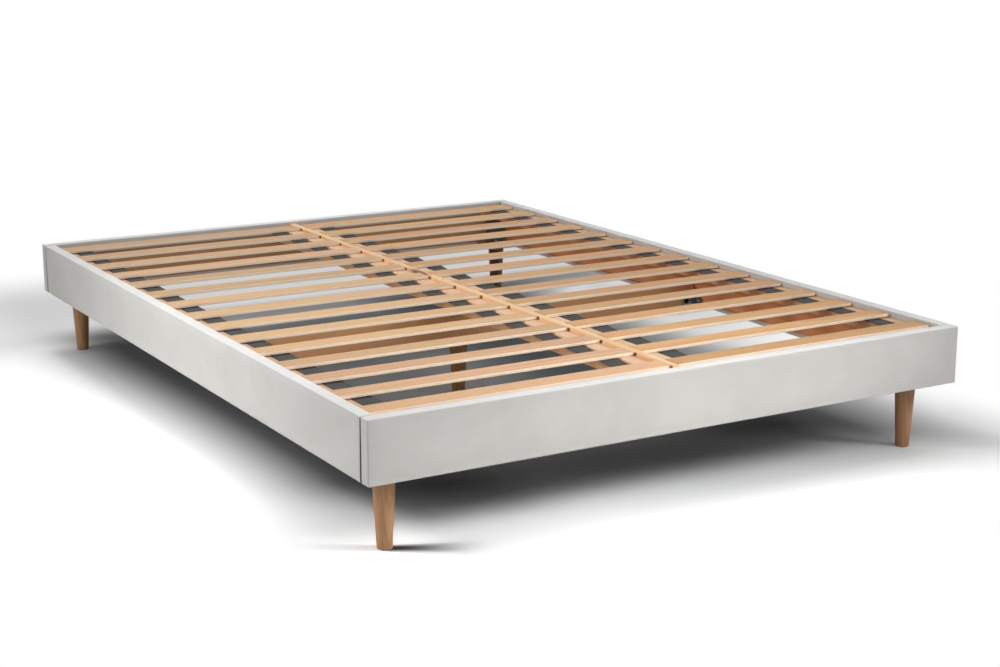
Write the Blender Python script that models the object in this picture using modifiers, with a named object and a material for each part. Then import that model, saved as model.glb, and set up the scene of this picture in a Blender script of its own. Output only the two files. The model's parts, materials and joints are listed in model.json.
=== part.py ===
"""Upholstered slatted bed base for a 140 x 190 cm mattress, on five turned legs.

Four pine boards in fabric covers make the frame. The side boards butt between the head and
foot boards, and a folded steel bracket in each corner ties them together and takes a leg.
Two mats of fifteen slats on webbing tape lie on the side ledges and on the battens of the
centre board, which a cross beam with its own leg carries at mid length.

X runs across the bed, +Y points to the head, +Z is up. The origin is on the floor, under
the middle of the bed. All lengths are in metres.
"""

import math

import bmesh
import bpy
from mathutils import Matrix, Vector

# Whole bed
BED_WIDTH = 1.400
BED_LENGTH = 1.900
RAIL_HEIGHT = 0.124
LEG_HEIGHT = 0.150

# Clearances and cuts
SEAT_GAP = 0.0003
CUT_OVERRUN = 0.010
MERGE_DISTANCE = 0.00001

# Frame boards and their covers
CORE_THICKNESS = 0.022
COVER_THICKNESS = 0.0024
COVER_ROUNDING = 0.003
COVER_ROUND_STEPS = 3
COVER_TURN_UP = 0.012
COVER_TURN_DOWN = 0.030

# Slats, fifteen in each half
SLATS_PER_HALF = 15
SLAT_WIDTH = 0.048
SLAT_THICKNESS = 0.007
SLAT_RECESS = 0.005
SLAT_OUTER_CLEARANCE = 0.003
SLAT_INNER_CLEARANCE = 0.002
SLAT_FIRST_GAP = 0.030
SLAT_EDGE_ROUNDING = 0.0008

# Webbing tapes under the slats
TAPE_WIDTH = 0.043
TAPE_THICKNESS = 0.0012
TAPE_OUTER_SETBACK = 0.027
TAPE_INNER_SETBACK = 0.039
TAPE_END_SETBACK = 0.004

# Side ledges
LEDGE_WIDTH = 0.071
LEDGE_THICKNESS = 0.020
WOOD_EDGE_ROUNDING = 0.001

# Centre board and its battens
BOARD_THICKNESS = 0.018
BOARD_HEIGHT = 0.066
BATTEN_WIDTH = 0.037
BATTEN_RISE = 0.021

# Cross beam, a little towards the foot from mid length
BEAM_THICKNESS = 0.050
BEAM_SHIFT = 0.0245

# Turned legs with a threaded stud
LEG_TOP_RADIUS = 0.0225
LEG_FOOT_RADIUS = 0.0150
LEG_FOOT_ROUNDING = 0.003
LEG_SHOULDER = 0.0012
LEG_SIDE_INSET = 0.070
LEG_END_INSET = 0.078
STUD_RADIUS = 0.004
STUD_LENGTH = 0.022
STUD_CHAMFER = 0.0008
STUD_CLEARANCE = 0.0003
STUD_HOLE_SPARE = 0.004
TURNING_STEPS = 32
ROUNDING_STEPS = 4
SHARP_ANGLE = math.radians(40)

# Steel brackets
STEEL_THICKNESS = 0.003
BRACKET_MARGIN = 0.010
BRACKET_END_FLANGE = 0.052
BRACKET_SIDE_FLANGE = 0.034
BRACKET_CLEARANCE = 0.006
BRACKET_CORNER_CUT = 0.022
NUT_RADIUS = 0.0075
NUT_HEIGHT = 0.008
NUT_SIDES = 6
SCREW_HOLE_RADIUS = 0.0025
SCREW_HOLE_INSET = 0.012
HOLE_STEPS = 16
ANGLE_BEAM_FLANGE = 0.038
ANGLE_RAIL_FLANGE = 0.032
ANGLE_HEIGHT = 0.020
ANGLE_CLEARANCE = 0.002

# Levels and planes worked out from the sizes above
RAIL_TOP = LEG_HEIGHT + RAIL_HEIGHT
COVER_ALLOWANCE = COVER_THICKNESS + SEAT_GAP
RAIL_THICKNESS = CORE_THICKNESS + 2 * COVER_ALLOWANCE
RAIL_INNER_X = BED_WIDTH / 2 - RAIL_THICKNESS
RAIL_INNER_Y = BED_LENGTH / 2 - RAIL_THICKNESS
CORE_INNER_X = RAIL_INNER_X + COVER_ALLOWANCE
CORE_INNER_Y = RAIL_INNER_Y + COVER_ALLOWANCE
FITTED_HALF_LENGTH = RAIL_INNER_Y - SEAT_GAP
SLAT_TOP = RAIL_TOP - SLAT_RECESS
SLAT_BOTTOM = SLAT_TOP - SLAT_THICKNESS
SLAT_OUTER_X = RAIL_INNER_X - SLAT_OUTER_CLEARANCE
SLAT_INNER_X = BOARD_THICKNESS / 2 + SLAT_INNER_CLEARANCE
SLAT_FIRST_Y = -RAIL_INNER_Y + SLAT_FIRST_GAP + SLAT_WIDTH / 2
SLAT_PITCH = -2 * SLAT_FIRST_Y / (SLATS_PER_HALF - 1)
TAPE_TOP = SLAT_BOTTOM - SEAT_GAP
TAPE_BOTTOM = TAPE_TOP - TAPE_THICKNESS
TAPE_HALF_LENGTH = -SLAT_FIRST_Y + SLAT_WIDTH / 2 - TAPE_END_SETBACK
LEDGE_TOP = TAPE_BOTTOM - SEAT_GAP
LEDGE_BOTTOM = LEDGE_TOP - LEDGE_THICKNESS
BOARD_TOP = SLAT_TOP
BOARD_BOTTOM = BOARD_TOP - BOARD_HEIGHT
BATTEN_TOP = SLAT_BOTTOM - SEAT_GAP
BATTEN_BOTTOM = BOARD_BOTTOM + BATTEN_RISE
BEAM_TOP = BOARD_BOTTOM - SEAT_GAP
LEG_TOP = LEG_HEIGHT - SEAT_GAP
LEG_X = BED_WIDTH / 2 - LEG_SIDE_INSET
LEG_Y = BED_LENGTH / 2 - LEG_END_INSET
BRACKET_TOP = LEDGE_BOTTOM - BRACKET_CLEARANCE
BRACKET_OUTER_X = CORE_INNER_X - SEAT_GAP
BRACKET_OUTER_Y = CORE_INNER_Y - SEAT_GAP
BRACKET_INNER_X = LEG_X - LEG_TOP_RADIUS - BRACKET_MARGIN
BRACKET_INNER_Y = LEG_Y - LEG_TOP_RADIUS - BRACKET_MARGIN

LEFT, RIGHT = -1, 1
FOOT, HEAD = -1, 1
SIDES = {"left": LEFT, "right": RIGHT}
ENDS = {"foot": FOOT, "head": HEAD}


def clear_scene():
    for obj in list(bpy.data.objects):
        bpy.data.objects.remove(obj, do_unlink=True)


def new_collection(name):
    collection = bpy.data.collections.new(name)
    bpy.context.scene.collection.children.link(collection)
    return collection


def material(name, colour, roughness, metallic=0.0):
    made = bpy.data.materials.new(name)
    made.use_nodes = True
    shader = made.node_tree.nodes["Principled BSDF"]
    shader.inputs["Base Color"].default_value = (*colour, 1.0)
    shader.inputs["Roughness"].default_value = roughness
    shader.inputs["Metallic"].default_value = metallic
    made.diffuse_color = (*colour, 1.0)
    return made


def add_object(name, mesh, location, finish=None):
    """An object in the bed's collection, or with no finish a guide that no render shows."""
    obj = bpy.data.objects.new(name, mesh)
    obj.location = location
    if finish is None:
        guides.objects.link(obj)
        obj.hide_render = True
        obj.display_type = "WIRE"
    else:
        parts.objects.link(obj)
        obj.active_material = finish
    return obj


def box(name, low, high, finish=None, rounding=0.0, steps=1):
    """A box between two corners, its origin in its middle, with rounded edges if asked."""
    low, high = Vector(low), Vector(high)
    mesh = bpy.data.meshes.new(name)
    shape = bmesh.new()
    bmesh.ops.create_cube(shape, size=1)
    bmesh.ops.scale(shape, vec=high - low, verts=shape.verts)
    shape.to_mesh(mesh)
    shape.free()
    obj = add_object(name, mesh, (low + high) / 2, finish)
    if rounding:
        bevel = obj.modifiers.new("rounded_edges", "BEVEL")
        bevel.width = rounding
        bevel.segments = steps
    return obj


def cylinder(name, centre, axis, radius, length, sides):
    """A cutter or boss about a point, lying along X, Y or Z."""
    turns = {"X": ("Y", 90), "Y": ("X", 90), "Z": ("Z", 0)}
    about, degrees = turns[axis]
    turn = Matrix.Rotation(math.radians(degrees), 4, about)
    mesh = bpy.data.meshes.new(name)
    shape = bmesh.new()
    bmesh.ops.create_cone(
        shape, cap_ends=True, segments=sides, radius1=radius, radius2=radius, depth=length, matrix=turn
    )
    shape.to_mesh(mesh)
    shape.free()
    return add_object(name, mesh, centre)


def mirrored(x_sign, y_sign, low, high):
    """The corners of a box drawn in the head right quarter, moved to the quarter of these signs."""
    xs = sorted((x_sign * low[0], x_sign * high[0]))
    ys = sorted((y_sign * low[1], y_sign * high[1]))
    return (xs[0], ys[0], low[2]), (xs[1], ys[1], high[2])


def combine(obj, tool, operation):
    change = obj.modifiers.new(f"{operation.lower()}_{tool.name}", "BOOLEAN")
    change.operation = operation
    change.object = tool


def cut(obj, tool):
    combine(obj, tool, "DIFFERENCE")


def join(obj, tool):
    combine(obj, tool, "UNION")


def hang_from(parent, children):
    for child in children:
        child.parent = parent
        child.location -= parent.location


def side_rail(name, side, pine, fabric):
    """A side board: it fits between the head and foot boards, and its cover ends on the ledge."""
    x_out = BED_WIDTH / 2
    y_end = FITTED_HALF_LENGTH
    core_end = y_end - COVER_ALLOWANCE
    core_low = (CORE_INNER_X, -core_end, LEG_HEIGHT + COVER_ALLOWANCE)
    core_high = (x_out - COVER_ALLOWANCE, core_end, RAIL_TOP - COVER_ALLOWANCE)
    box(f"{name}_rail_core", *mirrored(side, HEAD, core_low, core_high), pine)

    shell_corners = mirrored(side, HEAD, (RAIL_INNER_X, -y_end, LEG_HEIGHT), (x_out, y_end, RAIL_TOP))
    cover = box(f"{name}_rail_cover", *shell_corners, fabric, COVER_ROUNDING, COVER_ROUND_STEPS)
    cavity_low = [place - SEAT_GAP for place in core_low]
    cavity_high = [place + SEAT_GAP for place in core_high]
    cut(cover, box(f"{name}_rail_cavity", *mirrored(side, HEAD, cavity_low, cavity_high)))

    window_low = (RAIL_INNER_X - CUT_OVERRUN, -y_end - CUT_OVERRUN, LEG_HEIGHT + COVER_TURN_UP)
    window_high = (CORE_INNER_X, y_end + CUT_OVERRUN, LEDGE_TOP + SEAT_GAP)
    cut(cover, box(f"{name}_rail_window", *mirrored(side, HEAD, window_low, window_high)))
    for end_name, end in ENDS.items():
        notch_y = BRACKET_INNER_Y - SEAT_GAP
        notch_low = (window_low[0], notch_y, LEG_HEIGHT - CUT_OVERRUN)
        notch_high = (CORE_INNER_X, window_high[1], window_low[2] + CUT_OVERRUN)
        cut(cover, box(f"{name}_rail_{end_name}_notch", *mirrored(side, end, notch_low, notch_high)))


def end_rail(name, end, pine, fabric):
    """The head or foot board: it runs the full width, and its cover wraps its ends too."""
    x_end = BED_WIDTH / 2
    y_out = BED_LENGTH / 2
    core_end = x_end - COVER_ALLOWANCE
    core_low = (-core_end, CORE_INNER_Y, LEG_HEIGHT + COVER_ALLOWANCE)
    core_high = (core_end, y_out - COVER_ALLOWANCE, RAIL_TOP - COVER_ALLOWANCE)
    box(f"{name}_rail_core", *mirrored(RIGHT, end, core_low, core_high), pine)

    shell_corners = mirrored(RIGHT, end, (-x_end, RAIL_INNER_Y, LEG_HEIGHT), (x_end, y_out, RAIL_TOP))
    cover = box(f"{name}_rail_cover", *shell_corners, fabric, COVER_ROUNDING, COVER_ROUND_STEPS)
    cavity_low = [place - SEAT_GAP for place in core_low]
    cavity_high = [place + SEAT_GAP for place in core_high]
    cut(cover, box(f"{name}_rail_cavity", *mirrored(RIGHT, end, cavity_low, cavity_high)))

    window_low = (-CORE_INNER_X, RAIL_INNER_Y - CUT_OVERRUN, LEG_HEIGHT + COVER_TURN_UP)
    window_high = (CORE_INNER_X, CORE_INNER_Y, RAIL_TOP - COVER_TURN_DOWN)
    cut(cover, box(f"{name}_rail_window", *mirrored(RIGHT, end, window_low, window_high)))
    for side_name, side in SIDES.items():
        notch_low = (BRACKET_INNER_X - SEAT_GAP, window_low[1], LEG_HEIGHT - CUT_OVERRUN)
        notch_high = (CORE_INNER_X, CORE_INNER_Y, window_low[2] + CUT_OVERRUN)
        cut(cover, box(f"{name}_rail_{side_name}_notch", *mirrored(side, end, notch_low, notch_high)))


def slat_mat(name, side, pine, webbing):
    """Half of the slats on two tapes. It lifts out as one piece, straight up."""
    lift = bpy.data.objects.new(f"{name}_mat_lift", None)
    lift.location = (side * (SLAT_INNER_X + SLAT_OUTER_X) / 2, 0, SLAT_BOTTOM)
    parts.objects.link(lift)
    pieces = []
    for number in range(SLATS_PER_HALF):
        y = SLAT_FIRST_Y + number * SLAT_PITCH
        low = (SLAT_INNER_X, y - SLAT_WIDTH / 2, SLAT_BOTTOM)
        high = (SLAT_OUTER_X, y + SLAT_WIDTH / 2, SLAT_TOP)
        corners = mirrored(side, HEAD, low, high)
        pieces.append(box(f"slat_{name}_{number + 1:02d}", *corners, pine, SLAT_EDGE_ROUNDING))
    tape_starts = {
        "inner": SLAT_INNER_X + TAPE_INNER_SETBACK,
        "outer": SLAT_OUTER_X - TAPE_OUTER_SETBACK - TAPE_WIDTH,
    }
    for place, x in tape_starts.items():
        low = (x, -TAPE_HALF_LENGTH, TAPE_BOTTOM)
        high = (x + TAPE_WIDTH, TAPE_HALF_LENGTH, TAPE_TOP)
        pieces.append(box(f"tape_{name}_{place}", *mirrored(side, HEAD, low, high), webbing))
    hang_from(lift, pieces)


def side_ledge(name, side, pine):
    outer = CORE_INNER_X - SEAT_GAP
    low = (outer - LEDGE_WIDTH, -FITTED_HALF_LENGTH, LEDGE_BOTTOM)
    high = (outer, FITTED_HALF_LENGTH, LEDGE_TOP)
    box(f"{name}_ledge", *mirrored(side, HEAD, low, high), pine, WOOD_EDGE_ROUNDING)


def centre_spine(pine):
    """The board on edge down the middle, with the batten on each side that the slats lie on."""
    half = BOARD_THICKNESS / 2
    low = (-half, -FITTED_HALF_LENGTH, BOARD_BOTTOM)
    high = (half, FITTED_HALF_LENGTH, BOARD_TOP)
    box("centre_board", low, high, pine, WOOD_EDGE_ROUNDING)
    for name, side in SIDES.items():
        low = (half + SEAT_GAP, -FITTED_HALF_LENGTH, BATTEN_BOTTOM)
        high = (half + SEAT_GAP + BATTEN_WIDTH, FITTED_HALF_LENGTH, BATTEN_TOP)
        box(f"centre_batten_{name}", *mirrored(side, HEAD, low, high), pine, WOOD_EDGE_ROUNDING)


def cross_beam(pine):
    """The beam under the centre board, with a blind hole for the stud of the centre leg."""
    reach = RAIL_INNER_X - SEAT_GAP
    half = BEAM_THICKNESS / 2
    low = (-reach, -BEAM_SHIFT - half, LEG_HEIGHT)
    high = (reach, -BEAM_SHIFT + half, BEAM_TOP)
    beam = box("cross_beam", low, high, pine, WOOD_EDGE_ROUNDING)
    depth = STUD_LENGTH + STUD_HOLE_SPARE
    centre = (0, -BEAM_SHIFT, LEG_HEIGHT + (depth - CUT_OVERRUN) / 2)
    radius = STUD_RADIUS + STUD_CLEARANCE
    cut(beam, cylinder("cross_beam_hole", centre, "Z", radius, depth + CUT_OVERRUN, HOLE_STEPS))


def leg_profile():
    """The leg's outline from the top of its stud down to the middle of its foot."""
    points = [
        (0, STUD_LENGTH),
        (STUD_RADIUS - STUD_CHAMFER, STUD_LENGTH),
        (STUD_RADIUS, STUD_LENGTH - STUD_CHAMFER),
        (STUD_RADIUS, 0),
        (LEG_TOP_RADIUS - LEG_SHOULDER, 0),
        (LEG_TOP_RADIUS, -LEG_SHOULDER),
    ]
    round_x = LEG_FOOT_RADIUS - LEG_FOOT_ROUNDING
    round_z = -LEG_TOP + LEG_FOOT_ROUNDING
    for step in range(ROUNDING_STEPS + 1):
        angle = math.pi / 2 * step / ROUNDING_STEPS
        x = round_x + LEG_FOOT_ROUNDING * math.cos(angle)
        points.append((x, round_z - LEG_FOOT_ROUNDING * math.sin(angle)))
    return points + [(0, -LEG_TOP)]


def turned_leg():
    """The mesh that all five legs share, its origin in the middle of the leg's top."""
    outline = bpy.data.meshes.new("leg_outline")
    shape = bmesh.new()
    points = [shape.verts.new((radius, 0, z)) for radius, z in leg_profile()]
    for upper, lower in zip(points, points[1:]):
        shape.edges.new((upper, lower))
    shape.to_mesh(outline)
    shape.free()
    guide = add_object("leg_guide", outline, (0, 0, 0))
    turning = guide.modifiers.new("turning", "SCREW")
    turning.steps = turning.render_steps = TURNING_STEPS
    turning.use_merge_vertices = True
    turning.merge_threshold = MERGE_DISTANCE
    graph = bpy.context.evaluated_depsgraph_get()
    turned = bpy.data.meshes.new_from_object(guide.evaluated_get(graph))
    bpy.data.objects.remove(guide, do_unlink=True)
    turned.name = "turned_leg"
    turned.shade_smooth()
    turned.set_sharp_from_angle(angle=SHARP_ANGLE)
    return turned


def screw_hole(bracket, name, centre, axis):
    """A hole through one flange of a bracket, about a point on the flange."""
    length = 2 * (STEEL_THICKNESS + CUT_OVERRUN)
    cut(bracket, cylinder(name, centre, axis, SCREW_HOLE_RADIUS, length, HOLE_STEPS))


def corner_bracket(name, side, end, steel):
    """A floor plate under the corner with two flanges against the boards and a nut for the leg."""
    plate_low = (BRACKET_INNER_X, BRACKET_INNER_Y, LEG_HEIGHT)
    plate_high = (BRACKET_OUTER_X, BRACKET_OUTER_Y, LEG_HEIGHT + STEEL_THICKNESS)
    bracket = box(name, *mirrored(side, end, plate_low, plate_high), steel)

    end_low = (BRACKET_OUTER_X - BRACKET_END_FLANGE, BRACKET_OUTER_Y - STEEL_THICKNESS, LEG_HEIGHT)
    side_low = (BRACKET_OUTER_X - STEEL_THICKNESS, BRACKET_OUTER_Y - BRACKET_SIDE_FLANGE, LEG_HEIGHT)
    flange_high = (BRACKET_OUTER_X, BRACKET_OUTER_Y, BRACKET_TOP)
    join(bracket, box(f"{name}_end_flange", *mirrored(side, end, end_low, flange_high)))
    join(bracket, box(f"{name}_side_flange", *mirrored(side, end, side_low, flange_high)))

    plate_top = (side * LEG_X, end * LEG_Y, plate_high[2])
    bore_depth = 2 * (STEEL_THICKNESS + NUT_HEIGHT + CUT_OVERRUN)
    nut = cylinder(f"{name}_nut", plate_top, "Z", NUT_RADIUS, NUT_HEIGHT + STEEL_THICKNESS, NUT_SIDES)
    nut.location.z += NUT_HEIGHT / 2
    join(bracket, nut)
    cut(bracket, cylinder(f"{name}_bore", plate_top, "Z", STUD_RADIUS + STUD_CLEARANCE, bore_depth, HOLE_STEPS))

    corner = box(
        f"{name}_corner_cut",
        (-BRACKET_CORNER_CUT, -BRACKET_CORNER_CUT, LEG_HEIGHT - CUT_OVERRUN),
        (BRACKET_CORNER_CUT, BRACKET_CORNER_CUT, LEG_HEIGHT + STEEL_THICKNESS + CUT_OVERRUN),
    )
    corner.location.x, corner.location.y = side * BRACKET_INNER_X, end * BRACKET_INNER_Y
    corner.rotation_euler.z = math.radians(45)
    cut(bracket, corner)

    x = BRACKET_OUTER_X - BRACKET_END_FLANGE + SCREW_HOLE_INSET
    y = BRACKET_OUTER_Y - BRACKET_SIDE_FLANGE + SCREW_HOLE_INSET
    levels = {"low": LEG_HEIGHT + 2 * SCREW_HOLE_INSET, "high": BRACKET_TOP - SCREW_HOLE_INSET}
    for row, z in levels.items():
        screw_hole(bracket, f"{name}_end_hole_{row}", (side * x, end * BRACKET_OUTER_Y, z), "Y")
        screw_hole(bracket, f"{name}_side_hole_{row}", (side * BRACKET_OUTER_X, end * y, z), "X")


def beam_angle(name, side, steel):
    """The steel angle in the corner of a side rail and the beam's face towards the foot.

    It lies on the hem of the rail's cover.
    """
    outer_x = RAIL_INNER_X - SEAT_GAP
    corner_y = -BEAM_SHIFT - BEAM_THICKNESS / 2 - SEAT_GAP
    low_z = LEG_HEIGHT + ANGLE_CLEARANCE
    high_z = low_z + ANGLE_HEIGHT
    beam_low = (outer_x - ANGLE_BEAM_FLANGE, corner_y - STEEL_THICKNESS, low_z)
    beam_high = (outer_x, corner_y, high_z)
    rail_low = (outer_x - STEEL_THICKNESS, corner_y - ANGLE_RAIL_FLANGE, low_z)
    rail_high = (outer_x, corner_y, high_z)
    angle = box(name, *mirrored(side, HEAD, beam_low, beam_high), steel)
    join(angle, box(f"{name}_rail_flange", *mirrored(side, HEAD, rail_low, rail_high)))
    middle = (low_z + high_z) / 2
    beam_hole = (side * (beam_low[0] + SCREW_HOLE_INSET), corner_y, middle)
    rail_hole = (side * outer_x, rail_low[1] + SCREW_HOLE_INSET, middle)
    screw_hole(angle, f"{name}_beam_hole", beam_hole, "Y")
    screw_hole(angle, f"{name}_rail_hole", rail_hole, "X")


clear_scene()
parts = new_collection("upholstered_bed_base")
guides = new_collection("cutters_and_guides")
guides.hide_render = True

fabric_grey = material("warm_grey_fabric", (0.62, 0.60, 0.57), 0.9)
board_pine = material("red_brown_pine", (0.42, 0.23, 0.13), 0.7)
slat_pine = material("pale_pine", (0.66, 0.44, 0.27), 0.6)
ledge_pine = material("pink_pine", (0.62, 0.38, 0.25), 0.65)
leg_beech = material("oiled_beech", (0.52, 0.31, 0.18), 0.5)
tape_black = material("dark_webbing", (0.05, 0.05, 0.05), 0.85)
bracket_steel = material("grey_green_steel", (0.20, 0.22, 0.21), 0.45, 1.0)

leg_mesh = turned_leg()
for side_name, side_sign in SIDES.items():
    side_rail(side_name, side_sign, board_pine, fabric_grey)
    side_ledge(side_name, side_sign, ledge_pine)
    slat_mat(side_name, side_sign, slat_pine, tape_black)
    beam_angle(f"beam_angle_{side_name}", side_sign, bracket_steel)
for end_name, end_sign in ENDS.items():
    end_rail(end_name, end_sign, board_pine, fabric_grey)
    for side_name, side_sign in SIDES.items():
        corner_name = f"{end_name}_{side_name}"
        corner_bracket(f"corner_bracket_{corner_name}", side_sign, end_sign, bracket_steel)
        add_object(f"leg_{corner_name}", leg_mesh, (side_sign * LEG_X, end_sign * LEG_Y, LEG_TOP), leg_beech)
centre_spine(slat_pine)
cross_beam(board_pine)
add_object("leg_centre", leg_mesh, (0, -BEAM_SHIFT, LEG_TOP), leg_beech)
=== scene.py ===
"""Looks of the upholstered slatted bed base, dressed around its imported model.

The four frame boards wear stretched fabric covers, and the slats are sawn pine on two webbing
tapes a side. Four turned beech legs screw into folded steel brackets, the fifth into the cross
beam. X runs across the bed, +Y points to the head, +Z is up, and all lengths are in metres.
"""

import functools
import json
import math
import random

import bmesh
import bpy
from mathutils import Matrix, Vector, noise

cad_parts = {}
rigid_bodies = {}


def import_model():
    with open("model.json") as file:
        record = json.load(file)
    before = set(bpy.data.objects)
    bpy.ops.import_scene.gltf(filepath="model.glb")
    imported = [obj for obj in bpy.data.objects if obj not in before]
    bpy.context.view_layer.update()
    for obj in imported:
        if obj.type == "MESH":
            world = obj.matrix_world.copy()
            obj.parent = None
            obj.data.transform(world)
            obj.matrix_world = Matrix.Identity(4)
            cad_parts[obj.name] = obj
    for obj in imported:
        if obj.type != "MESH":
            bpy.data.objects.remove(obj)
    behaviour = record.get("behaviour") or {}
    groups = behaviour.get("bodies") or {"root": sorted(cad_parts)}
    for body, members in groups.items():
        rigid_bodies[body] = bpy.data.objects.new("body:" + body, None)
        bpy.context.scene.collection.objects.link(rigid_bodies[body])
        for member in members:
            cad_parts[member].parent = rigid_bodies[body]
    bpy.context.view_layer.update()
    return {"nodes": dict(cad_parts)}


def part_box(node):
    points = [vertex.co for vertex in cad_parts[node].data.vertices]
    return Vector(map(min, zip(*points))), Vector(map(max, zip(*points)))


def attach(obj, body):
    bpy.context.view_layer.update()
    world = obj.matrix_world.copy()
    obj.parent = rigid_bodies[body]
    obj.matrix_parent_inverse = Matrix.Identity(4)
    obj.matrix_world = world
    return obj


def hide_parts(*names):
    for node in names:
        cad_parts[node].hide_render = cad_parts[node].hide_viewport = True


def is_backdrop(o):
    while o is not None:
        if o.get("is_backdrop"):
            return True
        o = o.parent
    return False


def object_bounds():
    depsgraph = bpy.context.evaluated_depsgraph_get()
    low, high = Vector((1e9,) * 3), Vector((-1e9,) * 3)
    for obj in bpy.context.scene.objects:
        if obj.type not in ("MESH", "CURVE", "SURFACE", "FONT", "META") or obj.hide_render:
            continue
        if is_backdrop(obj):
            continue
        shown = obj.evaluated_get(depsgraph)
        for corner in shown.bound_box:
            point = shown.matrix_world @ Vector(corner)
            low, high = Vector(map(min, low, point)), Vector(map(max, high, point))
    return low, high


# Camera, fitted to the corners of the bed in the photograph
CAMERA_PLACE = (-2.0612, -3.7165, 1.1753)
CAMERA_TURN_DEG = (76.38, 0.0, -30.52)
CAMERA_LENS_MM = 66.0
CAMERA_SENSOR_MM = 36.0

# Softboxes: place, point aimed at, width and height, watts, and the spread of the grid in degrees
SOFTBOXES = {
    "front": ((0.2, -3.2, 2.1), (0.0, -0.9, 0.1), (2.6, 1.2), 11.3, 180.0),
    "front_grid": ((1.62, -2.25, 1.305), (-0.28, -0.95, 0.15), (0.6, 0.6), 2.9, 45.0),
    "front_high": ((1.2, -2.2, 2.0), (-0.1, -0.95, 0.15), (0.6, 0.6), 0.9, 46.0),
    "left": ((-3.0, 0.15, 1.9), (-0.7, 0.0, 0.1), (1.0, 2.6), 17.4, 180.0),
    "left_grid": ((-2.5, 0.7, 1.75), (-0.7, -0.26, 0.15), (0.6, 0.6), 3.3, 47.0),
    "top": ((1.3, -1.0, 3.2), (0.6, -0.1, 0.2), (1.4, 1.4), 2.8, 70.0),
    "back": ((-0.1, 2.0, 3.0), (0.0, 0.95, 0.2), (1.4, 1.4), 6.0, 62.0),
}
SKY_LEVEL = 0.40

# Light flag under the frame
FLAG_LEVEL = 0.146
FLAG_INSET = 0.004
FLAG_TONE = (0.05, 0.05, 0.05)
FLAG_GLOW = 0.40
FLAG_GLOW_TONE = (1.0, 0.95, 0.90)
FLAG_LEAK = 0.20
FLAG_LEAK_EDGE = (0.38, 0.70)

# Floor
FLOOR_REACH = 30.0
FLOOR_TONE = (0.80, 0.80, 0.80)
FLOOR_SHADE_TONE = (0.03, 0.03, 0.03)
FLOOR_FILL_TONE = (0.90, 0.97, 1.0)
FLOOR_CAMERA_GAIN = 1.60
FLOOR_FADE = (0.10, 0.38)
RIGHT_SLANT = 0.9
FOOT_SLANT = 0.35

# Each painted shade of the floor has a depth and edges. An edge is a measure of floor_measures,
# its value where the shade is none, and its value where it is full. "fill" is light, not shade.
SIDE_ENDS = [("past_foot_slant", -0.05, 0.30), ("past_head", 0.20, 0.0)]
HEAD_EDGES = [
    ("past_head", -0.17, 0.07), ("past_head", 1.0, 0.5),
    ("in_left", -0.35, 0.10), ("past_right", 0.85, 0.30),
]
FLOOR_SHADES = {
    "left": (0.85, [("in_left", -0.04, 0.18), ("in_left", 0.58, 0.30), *SIDE_ENDS]),
    "right": (0.75, [
        ("past_right", 0.36, -0.08), ("past_right", -0.58, -0.30), ("right_slant", -0.46, -0.10), *SIDE_ENDS
    ]),
    "ends": (0.26, [("in_end", -0.14, 0.04), ("in_end", 0.40, 0.20), ("x", -0.30, 0.25)]),
    "head": (0.38, HEAD_EDGES),
    "near_head": (0.74, [
        ("past_head", -0.20, -0.05), ("past_head", 0.35, 0.10), ("x", -0.45, -0.20), *HEAD_EDGES
    ]),
    "aside": (0.34, [
        ("past_right", 0.12, 0.30), ("past_right", 0.80, 0.40),
        ("y", -0.30, 0.50), ("past_head", 0.65, 0.25),
    ]),
    "fill": (0.060, [("x", -0.58, -0.40), ("x", 0.80, 0.66), ("y", -0.62, -0.40), ("y", 0.95, 0.75)]),
}

# Painted shadow on the floor: a dark streak from the near leg
STREAK_TURN_DEG = -28.0
STREAK_DEPTH = 0.97
STREAK_START = (-0.012, 0.012)
STREAK_END = (0.22, 0.02)
STREAK_HALF_WIDTHS = (0.0272, 0.0544)
STREAK_SIDE_SHARES = (1.0, 0.15)

# Fabric covers
CLOTH_THICKNESS = 0.0016
CLOTH_ROUNDING = 0.0030
CLOTH_STEP = 0.009
CLOTH_GIRTH_STEP = 0.007
CLOTH_END_MARGIN = 0.0028
HEM_UP = 0.012
HEM_DOWN = 0.030
CROWN = 0.0005
CROWN_POWERS = (4, 20)
RIPPLE_SHARES = (0.7, 0.5)
RIPPLE_NOISE = (9, 14, 3.1)
FINE_RIPPLE = 0.00016
FINE_RIPPLE_NOISE = (30, 9, 7.7)
TOP_WAVE = 0.0005
TOP_WAVE_NOISE = (7, 11, 5.3)
END_POWER = 30
PUCKER = 0.00025
PUCKER_LENGTH = 0.055
STAPLE_PITCH = 0.045
SLIT_TOP = 0.0024
SLIT_BOTTOM = 0.0044
SLIT_FROM_SHARE = 0.992
SEAM_REACH = 0.0065
SEAM_SKIN = 0.0010
TOUCH = 0.0001

# Slats and boards
SLAT_ROUNDING = 0.0012
SLAT_STEP = 0.028
SLAT_CROSS_STEP = 0.012
SLAT_BOW = 0.0007
SLAT_CROOK = 0.0010
# Painted shade on the spine beside each slat's corner: how far it reaches, and its fade
SLAT_SHADE_REACH = 0.009
SLAT_SHADE_FADE = 0.004
BOARD_ROUNDING = 0.0015
BOARD_STEP = 0.045
BOARD_CROSS_STEP = 0.02
ONE_STEP = 1.0

# Webbing
WEB_STEP = 0.006
WEB_CROSS_STEP = 0.0065
WEB_EDGE = 0.0005
WEB_SAG = 0.0026
WEB_SAG_POWER = 1.2
WEB_CURL = 0.0002
WEB_CURL_NOISE = (40, 8, 1.5)
# Painted shadow of each slat on the outer tapes: its span, and where the outer tapes start
WEB_SHADOW_SPAN = 0.013
WEB_SHADOW_FROM = 0.40
WEB_ZIGZAG = 0.0048
WEB_RIB_PITCH = 0.0021
WEB_WARP_PITCH = 0.0012

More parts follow.
